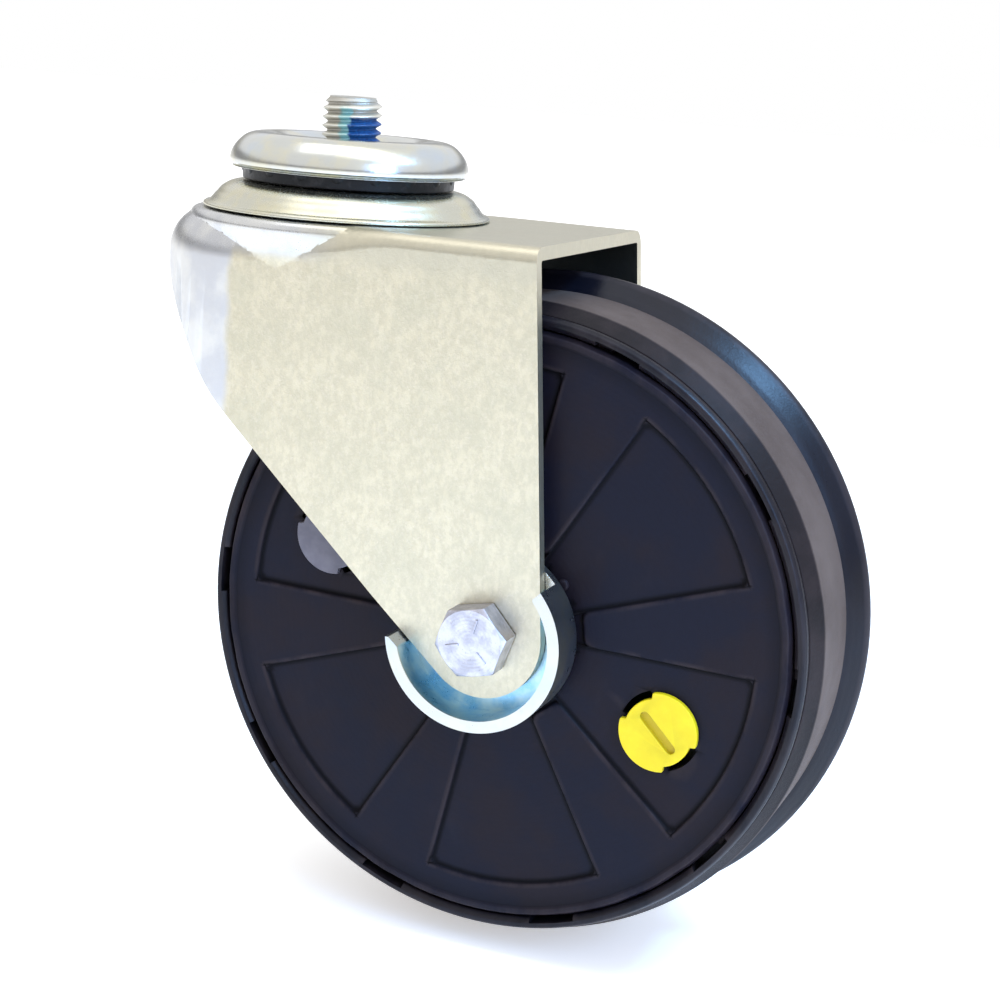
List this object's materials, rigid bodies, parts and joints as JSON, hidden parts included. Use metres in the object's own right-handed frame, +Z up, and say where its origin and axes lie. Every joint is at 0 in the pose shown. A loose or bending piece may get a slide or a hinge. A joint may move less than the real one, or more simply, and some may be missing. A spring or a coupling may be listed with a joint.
{
  "type": "swivel castor",
  "caption": "Swivel castor with threaded stem, ball swivel head and pressed fork, holding a wide trolley wheel with an inner drum brake and twist plugs in its cover.",
  "frame": {"origin": "on the swivel axis, level with the flat top of the bearing cap", "axes": "+Z up along the threaded stem, +X to the side the wheel trails to, -Y the side of the bolt head and the twist plugs"},
  "size_m": [0.1486, 0.0773, 0.1646],
  "materials": {
    "zinc": "zinc plate, pale yellow passivation, satin with mottling",
    "bright_zinc": "bright zinc plate, worn glossy",
    "steel": "plain steel",
    "black_nylon": "moulded black nylon, fine grain",
    "tyre": "warm grey polyurethane, slightly dusty",
    "yellow": "moulded, semi-gloss",
    "grey": "moulded, semi-matt",
    "greased": "steel balls in dark grease",
    "lining": "pressed friction lining",
    "carrier": "glass-filled nylon",
    "cell": "shrink sleeve",
    "board": "solder mask",
    "copper": "enamelled copper wire"
  },
  "bodies": {
    "mount": {"kingpin": "steel", "bearing_cap": "bright_zinc", "lower_race_cup": "bright_zinc"},
    "fork": {"fork": "zinc", "swivel_race_ring": "bright_zinc", "axle_bolt": "steel", "axle_nut": "steel", "nut_washer": "steel", "keeper_cup_near": "bright_zinc", "keeper_cup_far": "bright_zinc", "axle_sleeve": "steel", "inner_race_near": "steel", "inner_race_far": "steel", "brake_carrier": "carrier", "brake_motor": "steel", "battery_cell_low": "cell", "battery_cell_front": "cell", "circuit_board": "board", "antenna_coil": "copper"},
    "wheel": {"wheel_rim": "black_nylon", "tyre": "tyre", "brake_drum": "steel", "near_cover": "black_nylon", "far_cover": "black_nylon", "outer_race_near": "steel", "outer_race_far": "steel"},
    "upper_balls": {"upper_ball_ring": "greased"},
    "lower_balls": {"lower_ball_ring": "greased"},
    "near_bearing_cage": {"bearing_balls_near": "steel"},
    "far_bearing_cage": {"bearing_balls_far": "steel"},
    "yellow_plug": {"yellow_plug": "yellow"},
    "grey_plug": {"grey_plug": "grey"},
    "brake_cam": {"brake_cam": "steel"},
    "motor_pinion": {"motor_pinion": "steel"},
    "rear_shoe": {"brake_shoe_rear": "steel", "brake_shoe_rear_lining": "lining"},
    "front_shoe": {"brake_shoe_front": "steel", "brake_shoe_front_lining": "lining"}
  },
  "joints": [
    {"name": "swivel", "type": "hinge", "parent": "mount", "child": "fork", "pos_m": [0, 0, 0], "axis": [0, 0, 1], "continuous": true},
    {"name": "upper_balls_roll", "type": "hinge", "parent": "mount", "child": "upper_balls", "pos_m": [0, 0, 0], "axis": [0, 0, 1], "continuous": true},
    {"name": "lower_balls_roll", "type": "hinge", "parent": "mount", "child": "lower_balls", "pos_m": [0, 0, 0], "axis": [0, 0, 1], "continuous": true},
    {"name": "wheel_spin", "type": "hinge", "parent": "fork", "child": "wheel", "pos_m": [0.0477, 0, -0.0897], "axis": [0, 1, 0], "continuous": true},
    {"name": "near_cage_roll", "type": "hinge", "parent": "fork", "child": "near_bearing_cage", "pos_m": [0.0477, 0, -0.0897], "axis": [0, 1, 0], "continuous": true},
    {"name": "far_cage_roll", "type": "hinge", "parent": "fork", "child": "far_bearing_cage", "pos_m": [0.0477, 0, -0.0897], "axis": [0, 1, 0], "continuous": true},
    {"name": "yellow_plug_twist", "type": "hinge", "parent": "wheel", "child": "yellow_plug", "pos_m": [0.08241, 0, -0.10415], "axis": [0, -1, 0], "range_deg": [0, 90]},
    {"name": "grey_plug_twist", "type": "hinge", "parent": "wheel", "child": "grey_plug", "pos_m": [0.01242, 0, -0.07672], "axis": [0, -1, 0], "range_deg": [0, 90]},
    {"name": "cam_turn", "type": "hinge", "parent": "fork", "child": "brake_cam", "pos_m": [0.0477, 0, -0.05858], "axis": [0, -1, 0], "range_deg": [0, 45]},
    {"name": "pinion_turn", "type": "hinge", "parent": "fork", "child": "motor_pinion", "pos_m": [0.06081, 0, -0.06265], "axis": [0, -1, 0], "range_deg": [-135, 0]},
    {"name": "rear_shoe_swing", "type": "hinge", "parent": "fork", "child": "rear_shoe", "pos_m": [0.0477, 0, -0.12082], "axis": [0, 1, 0], "range_deg": [0, 1.65]},
    {"name": "front_shoe_swing", "type": "hinge", "parent": "fork", "child": "front_shoe", "pos_m": [0.0477, 0, -0.12082], "axis": [0, -1, 0], "range_deg": [0, 1.65]}
  ],
  "couplings": [
    {"joint": "upper_balls_roll", "follows": "swivel", "ratio": 0.5},
    {"joint": "lower_balls_roll", "follows": "swivel", "ratio": 0.5},
    {"joint": "near_cage_roll", "follows": "wheel_spin", "ratio": 0.4},
    {"joint": "far_cage_roll", "follows": "wheel_spin", "ratio": 0.4},
    {"joint": "pinion_turn", "follows": "cam_turn", "ratio": -3},
    {"joint": "rear_shoe_swing", "follows": "cam_turn", "ratio": 0.036666},
    {"joint": "front_shoe_swing", "follows": "cam_turn", "ratio": 0.036666}
  ]
}
